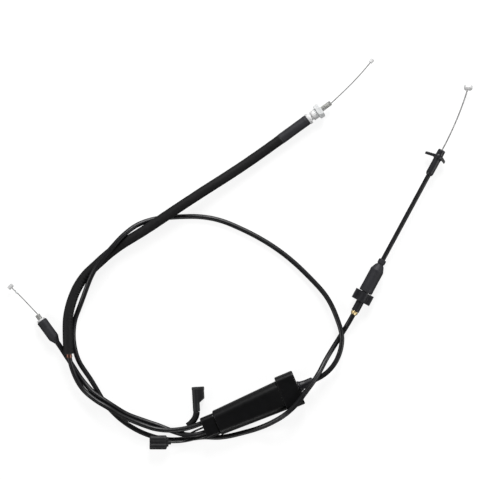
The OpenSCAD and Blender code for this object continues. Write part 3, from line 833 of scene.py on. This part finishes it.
def end_cap():
    """Cap with its lug, hollow inside, and with a hole for the collar of the inlet tube."""
    node = "box_end_cap"
    low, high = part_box(node)
    v = vertices(node)
    wall_end = v[v[:, 2] > high.z - 2 * MM][:, 0].max()
    cap = moulding(node + "_shell", (low.x, low.y, high.y), (wall_end, low.y, high.y), low.z, high.z,
                   top_round(node, wall_end), 0.8 * MM, 1.0 * MM)
    v = v[v[:, 0] > wall_end + 1 * MM]
    lug = box_piece("lug", (wall_end - 1 * MM, v[:, 1].min(), v[:, 2].min()), v.max(axis=0), 0.5 * MM)
    inside = Vector((low.x + 2 * MM, low.y / 2, (low.z + high.z) / 2))
    core = box_piece("core", *hollow(node, inside), EDGE)
    axis, tube_end = inlet_axis(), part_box("inlet_tube")[0].x
    collar = axis.local("inlet_tube")
    collar = collar[collar[:, 0] < tube_end + 0.1 * MM]
    r = np.linalg.norm(collar[:, 1:], axis=1).max() + 0.05 * MM
    hole = turned_solid("hole", axis, [(wall_end - 5 * MM, r), (wall_end + PAST, r)])
    cap = combine(combine(cap, [lug], "UNION"), [core, hole], "DIFFERENCE")
    place(weighted(cap), node)


def port_block():
    low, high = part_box("port_block")
    block = moulding("port_block_shell", (low.x, low.y, high.y), (high.x, low.y, high.y), low.z, high.z,
                     4.5 * MM, 1.6 * MM, 0.9 * MM)
    place(weighted(block), "port_block")


def rivet():
    low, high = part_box("cap_rivet")
    axis = Axis(((low.x + high.x) / 2, (low.y + high.y) / 2, 0), UP, X)
    r, shank, head = (high.x - low.x) / 2, 1.0 * MM, 0.9 * MM
    profile = [(low.z, r * 0.9), (low.z + 0.8 * MM, r), (low.z + 0.8 * MM, shank), (high.z - head, shank),
               (high.z - head, r), (high.z - 0.3 * MM, r * 0.86), (high.z, r * 0.4)]
    place(turned_solid("cap_rivet_turned", axis, profile, around=40), "cap_rivet")


# ---- Lever end and adjuster ----


def lever_ferrule(axis):
    """Moulded ferrule whose flange carries two rounded wings that droop towards the casing."""
    node = "lever_ferrule"
    local, points = axis.local(node), wall(node, axis)[0]
    disc = max(r for _, r in points)
    flange = [s for s, r in points if r > 0.99 * disc]
    low, high = min(flange), max(flange)
    body = np.median([r for s, r in points if s > high + 1 * MM])
    wings = {side: squarish(3.2 * MM, (side * local[:, 1]).max(), 2.6) for side in (1, -1)}
    rim, fillet, face = 0.6 * MM, 0.55 * MM, 0.01 * MM

    def winged(angle):
        wing = np.where(np.sin(angle) >= 0, wings[1](angle), wings[-1](angle))
        return soft_max(np.full_like(angle, 0.93 * disc), wing, 8)

    def radius(s, r):
        """Flange between its faces, with rounded rims, and a fillet down to the body past them."""
        past = abs(s - (low + high) / 2) - (high - low) / 2

        def at(angle):
            if past <= 0:
                return winged(angle) * (1 - 0.08 * (1 - math.sqrt(1 - max(0.0, past / rim + 1) ** 2)))
            return np.full_like(angle, r) + math.exp(-past / fillet) * 1.1 * MM

        return at

    start, end = min(s for s, _ in points), max(s for s, _ in points)
    stations = np.r_[np.arange(start, low - face, 0.4 * MM), low - face, np.linspace(low, high, 21),
                     np.arange(high + face, end, 0.4 * MM), end]
    outer = sorted((s, r) for s, r in points if 0.8 * body <= r < 0.99 * disc)
    bore = sorted(((s, r) for s, r in points if r < 0.8 * body), key=lambda q: -q[0])
    body_r = np.interp(stations, [s for s, _ in outer], [r for _, r in outer])
    rings = [(s, radius(s, r)) for s, r in zip(stations, body_r)] + bore
    piece = skin(node + "_moulded", axis, rings, 96, closed=True)
    # The wings lean back by different amounts on the two sides
    for v in piece.data.vertices:
        d = np.array(v.co) - axis.o
        s, y = d @ axis.t, d @ axis.left
        beyond = max(0.0, abs(y) - 0.9 * disc)
        if low - 1 * MM < s < high + 1 * MM and beyond:
            v.co -= Vector(axis.t) * beyond * (0.2 if y > 0 else 0.55)
    shade(piece)
    place(piece, node)


def wing_nut(axis):
    """Round hub with two square wings, rounded at its end faces."""
    node = "adjuster_wing"
    low, high = axis.span(node)
    local = axis.local(node)
    half_wide, hub = local[:, 1].max(), np.abs(local[:, 2]).max()
    half_high = np.abs(local[np.abs(local[:, 1]) > 0.9 * half_wide][:, 2]).max()
    bore = np.linalg.norm(local[:, 1:], axis=1).min()
    wings = squarish(half_high, half_wide, 9)
    rim = 0.35 * MM
    turns = rim_turns(rim, 6)

    def section(inset):
        return lambda angle: soft_max(np.full_like(angle, hub), wings(angle), 16) - inset

    rings = [(low + d, section(e)) for d, e in turns]
    rings += [(s, section(0)) for s in np.linspace(low + rim, high - rim, 6)[1:-1]]
    rings += [(high - d, section(e)) for d, e in turns[::-1]] + bored(low, high, bore, 0.4 * MM)
    place(skin(node + "_moulded", axis, rings, 120, closed=True), node)


def adjuster_screw(axis):
    """Tube whose upper end is threaded from inside the wing nut on."""
    node = "adjuster_screw"
    high = axis.span(node)[1]
    thread_start = axis.span("adjuster_wing")[1] - 3 * MM
    pitch, hidden = 1.25 * MM, 1 * MM
    r_thread = np.median([r for s, r in wall(node, axis)[0] if s > high - 0.1 * MM and r > 2 * MM])

    def relief(s, r, angle):
        if s > thread_start + hidden and r_thread - 0.3 * MM < r <= r_thread + 0.01 * MM:
            return thread(s, angle, r_thread, pitch, thread_start, high)
        return np.full_like(angle, r)

    turned_like(node, axis, 0.25 * MM, 56, relief, 0.14 * MM)


def brass_ferrule(axis):
    """End ring of the casing, with a crimped groove."""
    node = "brass_ferrule"
    groove_at, bore_side = axis.span(node)[1] - 1.1 * MM, 3.2 * MM

    def crimp(s, r, angle):
        groove = 0.16 * MM * math.exp(-((s - groove_at) / (0.3 * MM)) ** 2)
        return np.full_like(angle, r - (groove if r > bore_side else 0))

    turned_like(node, axis, 0.3 * MM, 64, crimp, 0.15 * MM)


def adjuster(axis):
    wing_nut(axis)
    s0, s1 = axis.span("adjuster_boot")
    rubber_boot("adjuster_boot", axis, [s0 + 1.6 * MM, s0 + 3.2 * MM, s1 - 8.4 * MM], 0.16 * MM)
    turned_like("adjuster_sleeve", axis, 0.4 * MM)
    adjuster_screw(axis)
    brass_ferrule(axis)


# ---- Connectors ----


def circle_at(y, r):
    """Radius, at an angle from up, of a circle whose middle is y to the left."""
    return lambda angle: y * np.sin(angle) + np.sqrt(np.maximum(r * r - (y * np.cos(angle)) ** 2, 0))


def flag_connector(axis):
    """Tube that grows a flat flag on its right, with a raised lip round the mouth."""
    node = "flag_connector"
    low, high = axis.span(node)
    local = axis.local(node)
    flag_right, tube = -local[:, 1].min(), local[:, 1].max()
    flag_high = np.abs(local[np.abs(local[:, 1] + flag_right) < 0.1 * MM][:, 2]).max()
    slope_start, slope = low + 9.5 * MM, 4.6 * MM
    lip, lip_long, thick = 0.28 * MM, 3 * MM, 0.9 * MM
    lead_end, lead_bore, pocket = low + 8 * MM, 1.4 * MM, high - 12.5 * MM

    def section(s, inset):
        u = np.clip((s - slope_start) / slope, 0, 1)
        flag = squarish(flag_high, tube + (flag_right - tube) * u, 9)

        def radius(angle):
            round_part = np.full_like(angle, tube)
            on_flag = (np.sin(angle) < 0) & (u > 0)
            return np.where(on_flag, soft_max(round_part, flag(angle), 20), round_part) - inset

        return radius

    rings = [(low, section(low, 0.7 * MM)), (low + 0.2 * MM, section(low, 0.25 * MM))]
    rings += [(s, section(s, 0)) for s in np.arange(low + 0.6 * MM, high - lip_long - 0.4 * MM, 0.45 * MM)]
    mouth = [(lip_long + 0.2 * MM, 0), (lip_long, -lip), (0.5 * MM, -lip), (0.15 * MM, -0.2 * lip),
             (0, 0.35 * MM), (0, thick - 0.1 * MM), (0.3 * MM, thick), (high - pocket, thick)]
    rings += [(high - d, section(high, inset)) for d, inset in mouth]
    rings += [(pocket, tube - thick), (lead_end + 0.2 * MM, tube - thick), (lead_end, lead_bore),
              (low, lead_bore)]
    place(skin(node + "_moulded", axis, rings, 72, closed=True), node)


def twin_connector(axis):
    """Two sockets side by side, with a web between them and a cone down to the lead."""
    node = "twin_connector"
    low, high = axis.span(node)
    local = axis.local(node)
    r = np.abs(local[:, 2]).max()
    apart = local[:, 1].max() - r
    web, neck = squarish(2.9 * MM, 0.9 * apart, 6), squarish(2.6 * MM, 4.6 * MM, 5)

    def section(inset):
        def radius(angle):
            pair = np.maximum(circle_at(apart, r)(angle), circle_at(-apart, r)(angle))
            return soft_max(np.maximum(pair, 0.1 * MM), web(angle), 12) - inset

        return radius

    body = low + 4.8 * MM
    rings = [(low, 2.0 * MM), (low + 0.3 * MM, 2.3 * MM), (low + 2.6 * MM, 2.4 * MM), (low + 2.9 * MM, neck),
             (body - 0.5 * MM, neck), (body, section(1.0 * MM)), (body + 0.4 * MM, section(0.35 * MM)),
             (body + 1.0 * MM, section(0))]
    rings += [(s, section(0)) for s in np.linspace(body + 2 * MM, high - 1.2 * MM, 16)]
    rings += [(high - 0.5 * MM, section(0.12 * MM)), (high - 0.1 * MM, section(0.45 * MM)),
              (high, section(0.8 * MM))]
    piece = skin(node + "_moulded", axis, rings, 96)
    depth, bore = 15 * MM, r - 0.9 * MM
    profile = [(high - depth, bore), (high - 0.4 * MM, bore), (high + 1 * MM, bore + 0.6 * MM)]
    sockets = [turned_solid(f"socket_{k}", Axis(axis.at(0, y), axis.t), profile, 0.1 * MM, 40)
               for k, y in enumerate((-apart, apart))]
    place(combine(piece, sockets, "DIFFERENCE"), node)


# ---- Nipples and the lever barrel ----


def small_casting(node, axis):
    """Die-cast end piece: its own outline with soft edges and a slightly uneven skin."""

    def relief(s, r, angle):
        return r + (0.05 * MM if r > 0.3 * MM else 0) * uneven(s, angle, 1.5 * MM, 2)

    turned_like(node, axis, 0.35 * MM, 48, relief, 0.35 * MM)


def barrel(axis):
    """Lever barrel: dished ends and a shallow waist where it was gated."""
    node = "throttle_barrel"
    low, high = axis.span(node)
    r, middle, dish = axis.radius(node), (low + high) / 2, 0.8 * MM
    half = [(low + dish, 0.5 * MM), (low + dish, 0.3 * r), (low, 0.45 * r), (low, 0.6 * r),
            (low + 1.7 * MM, r), (middle - 1.4 * MM, r), (middle - 0.9 * MM, 0.965 * r)]
    profile = half + [(2 * middle - s, q) for s, q in half[::-1]]
    place(turned_solid(node + "_cast", axis, profile, 0.4 * MM, 64, 4), node)


# ---- Every part ----


def middle_of(axis, node):
    return axis.at(sum(axis.span(node)) / 2)


def lead(node, seed, along):
    """Insulated wire with trimmed ends."""
    line = Line(feel(node, seed, along, 1.7 * MM))
    _, r = bore_and_radius(node, line)
    lip, n = 0.2 * MM, int(line.length / (0.8 * MM))
    rings = [(0, 0.7 * r)] + [(s, r) for s in np.linspace(lip, line.length - lip, n)]
    rings.append((line.length, 0.7 * r))
    place(skin(node + "_insulated", line, rings, 24), node)


def crimp_ring(node, line):
    """Ring pressed round a casing, at the place along it where the node sits."""
    v = vertices(node)
    s = line.s[np.argmin(np.linalg.norm(line.p - (v.min(axis=0) + v.max(axis=0)) / 2, axis=1))]
    axis = Axis(line.at(s), line.at(s, line.t))
    turned_like(node, axis, 0.3 * MM, 48)


def build_lines(lever, carb, oil, flag, twin):
    """Casings, sleeves and leads, each felt out from a point known to lie inside it."""
    casing("throttle_casing", middle_of(lever, "brass_ferrule"), -lever.t)
    casing("upper_casing", middle_of(lever, "upper_casing"), lever.t)
    carb_line = casing("carb_casing", middle_of(carb, "carb_boot"), -carb.t)
    casing("oil_casing", oil.at(oil.span("oil_boot")[0] + 2 * MM), -oil.t)
    vinyl_sleeve("carb_sleeve", carb.at(carb.span("carb_sleeve")[1] - 2 * MM), -carb.t, 5 * MM)
    crimp_ring("sleeve_ferrule", carb_line)

    sleeve = vinyl_sleeve("lead_sleeve", flag.at(flag.span("flag_connector")[0] - 1 * MM), -flag.t, 3.4 * MM,
                          0.1 * MM, 0.15 * MM)
    lead("switch_lead_a", sleeve.p[-1] + 1 * MM * sleeve.t[-1], sleeve.t[-1])
    lead("switch_lead_b", twin.at(twin.span("twin_connector")[0] - 1 * MM), -twin.t)


def build_lever_end(lever):
    adjuster(lever)
    lever_ferrule(lever)
    wire = feel("throttle_wire", lever.at(lever.span("lever_ferrule")[1] - 5 * MM), lever.t, 1.3 * MM)
    stranded("throttle_wire", Line(wire, 0.8 * MM))
    barrel(Axis.of_mount("throttle_barrel"))


def build_carb_end(carb):
    nipple = Axis.of_mount("carb_nipple")
    s0, s1 = carb.span("carb_boot")
    rubber_boot("carb_boot", carb, [s0 + 2 * MM, s0 + 4.5 * MM, s1 - 3 * MM])
    turned_like("carb_ferrule", carb, 0.3 * MM)
    turned_like("carb_washer", carb, 0.25 * MM)
    lock_nut("carb_locknut", carb)
    stud("carb_stud", carb)
    stranded("carb_wire", Line(feel("carb_wire", nipple.o, nipple.t, 1.3 * MM), 0.8 * MM))
    small_casting("carb_nipple", nipple)


def build_oil_end(oil):
    nipple = Axis.of_mount("oil_nipple")
    s0, s1 = oil.span("oil_boot")
    rubber_boot("oil_boot", oil, [s0 + 2 * MM, s1 - 3 * MM])
    turned_like("oil_ferrule", oil, 0.3 * MM)
    stud("oil_stud", oil)
    to_stud = unit(oil.o - nipple.o)
    wire = Line(feel("oil_wire", nipple.o + 1.5 * MM * to_stud, to_stud, 1.3 * MM)[::-1], 0.8 * MM)
    # The end inside the stud is cut short, so that it passes the fixed wire behind it at full pull
    stranded("oil_wire", wire, 1.2 * MM)
    small_casting("oil_nipple", nipple)


def build_box():
    base_and_cover()
    end_cap()
    port_block()
    rivet()
    turned_like("inlet_tube", inlet_axis(), 0.5 * MM)


def dress_kept_nodes():
    """Every CAD node still shown takes the finish of its slot."""
    for node, kept in frame["nodes"].items():
        dress(kept, node)


lever, carb, oil = (Axis.of_mount(m) for m in ("lever_ferrule_spigot", "carb_stud_thread", "oil_stud_thread"))
flag, twin = Axis.of_mount("flag_connector_mouth"), Axis.of_mount("twin_connector_mouth")

build_lines(lever, carb, oil, flag, twin)
build_lever_end(lever)
build_carb_end(carb)
build_oil_end(oil)
flag_connector(flag)
twin_connector(twin)
build_box()
dress_kept_nodes()


# ---- Studio ----

# The set lies turned in the view: right and up in the picture, as directions on the bench
VIEW_TURN = math.radians(-22.6)
RIGHT = np.array([math.cos(VIEW_TURN), math.sin(VIEW_TURN), 0.0])
AWAY = np.array([-math.sin(VIEW_TURN), math.cos(VIEW_TURN), 0.0])
# The picture's centre lies off the middle of the set
VIEW_SHIFT = np.array([-22.4 * MM, 36.3 * MM, 0.0])
LAMP_DISTANCE = 2.2


def floor(seen_glow):
    """Pale board, a little under the set. Its glow, which only the camera sees, washes its shadows out."""
    f = Finish("studio_board", specular=0.1)
    f.surface.inputs["Roughness"].default_value = 0.9
    f.colour(f.ramp(f.noise(300 * MM, 2), [(0.3, (0.2, 0.2, 0.2)), (0.7, (0.22, 0.22, 0.22))]))
    f.glow(seen_glow)
    size, depth = 6.0, 0.2 * MM
    corners = [(-size, -size), (size, -size), (size, size), (-size, size)]
    mesh = bpy.data.meshes.new("board")
    mesh.from_pydata([(x, y, -depth) for x, y in corners], [], [(0, 1, 2, 3)])
    mesh.materials.append(f.material)
    board = bpy.data.objects.new("board", mesh)
    bpy.context.scene.collection.objects.link(board)


def area_light(name, middle, direction, size, power):
    """Soft light that looks at the middle of the set from a direction."""
    light = bpy.data.lights.new(name, "AREA")
    light.shape, light.size, light.energy = "DISK", size, power
    lamp = bpy.data.objects.new(name, light)
    lamp.location = Vector(middle + unit(direction) * LAMP_DISTANCE)
    lamp.rotation_euler = Vector(unit(direction)).to_track_quat("Z", "Y").to_euler()
    bpy.context.scene.collection.objects.link(lamp)


def surroundings(seen, lit):
    """Plain world: one brightness where the camera sees it, another for what it lights."""
    world = bpy.data.worlds.new("studio")
    bpy.context.scene.world = world
    world.use_nodes = True
    nodes, links = world.node_tree.nodes, world.node_tree.links
    back = nodes["Background"]
    path = nodes.new("ShaderNodeLightPath")
    level = nodes.new("ShaderNodeMapRange")
    level.inputs["To Min"].default_value, level.inputs["To Max"].default_value = lit, seen
    links.new(path.outputs["Is Camera Ray"], level.inputs["Value"])
    links.new(level.outputs["Result"], back.inputs["Strength"])
    back.inputs["Color"].default_value = (1, 1, 1, 1)


def camera(middle, across):
    """Long lens looking straight down, with this much of the bench across the picture."""
    lens = bpy.data.cameras.new("camera")
    lens.sensor_width, lens.lens = 36, 150
    eye = bpy.data.objects.new("camera", lens)
    distance = across * lens.lens / lens.sensor_width
    eye.location = Vector((middle[0], middle[1], distance))
    eye.rotation_euler = (0, 0, VIEW_TURN)
    lens.clip_end = 20
    bpy.context.scene.collection.objects.link(eye)
    bpy.context.scene.camera = eye


middle = (np.array(cad_box[0]) + np.array(cad_box[1])) / 2
floor(seen_glow=0.85)
area_light("key", middle, 0.84 * AWAY + 0.1 * RIGHT + 0.54 * UP, 1.0, 46)
area_light("edge", middle, 0.97 * AWAY + 0.24 * UP, 1.0, 16)
area_light("fill_left", middle, -0.9 * RIGHT - 0.1 * AWAY + 0.5 * UP, 0.9, 18)
area_light("fill_right", middle, 0.9 * RIGHT - 0.1 * AWAY + 0.5 * UP, 0.9, 18)
area_light("fill_near", middle, -0.9 * AWAY + 0.4 * UP, 0.9, 12)
surroundings(seen=1.0, lit=0.03)
camera(middle + VIEW_SHIFT, 528 * MM)
bpy.context.scene.view_settings.view_transform = "Standard"
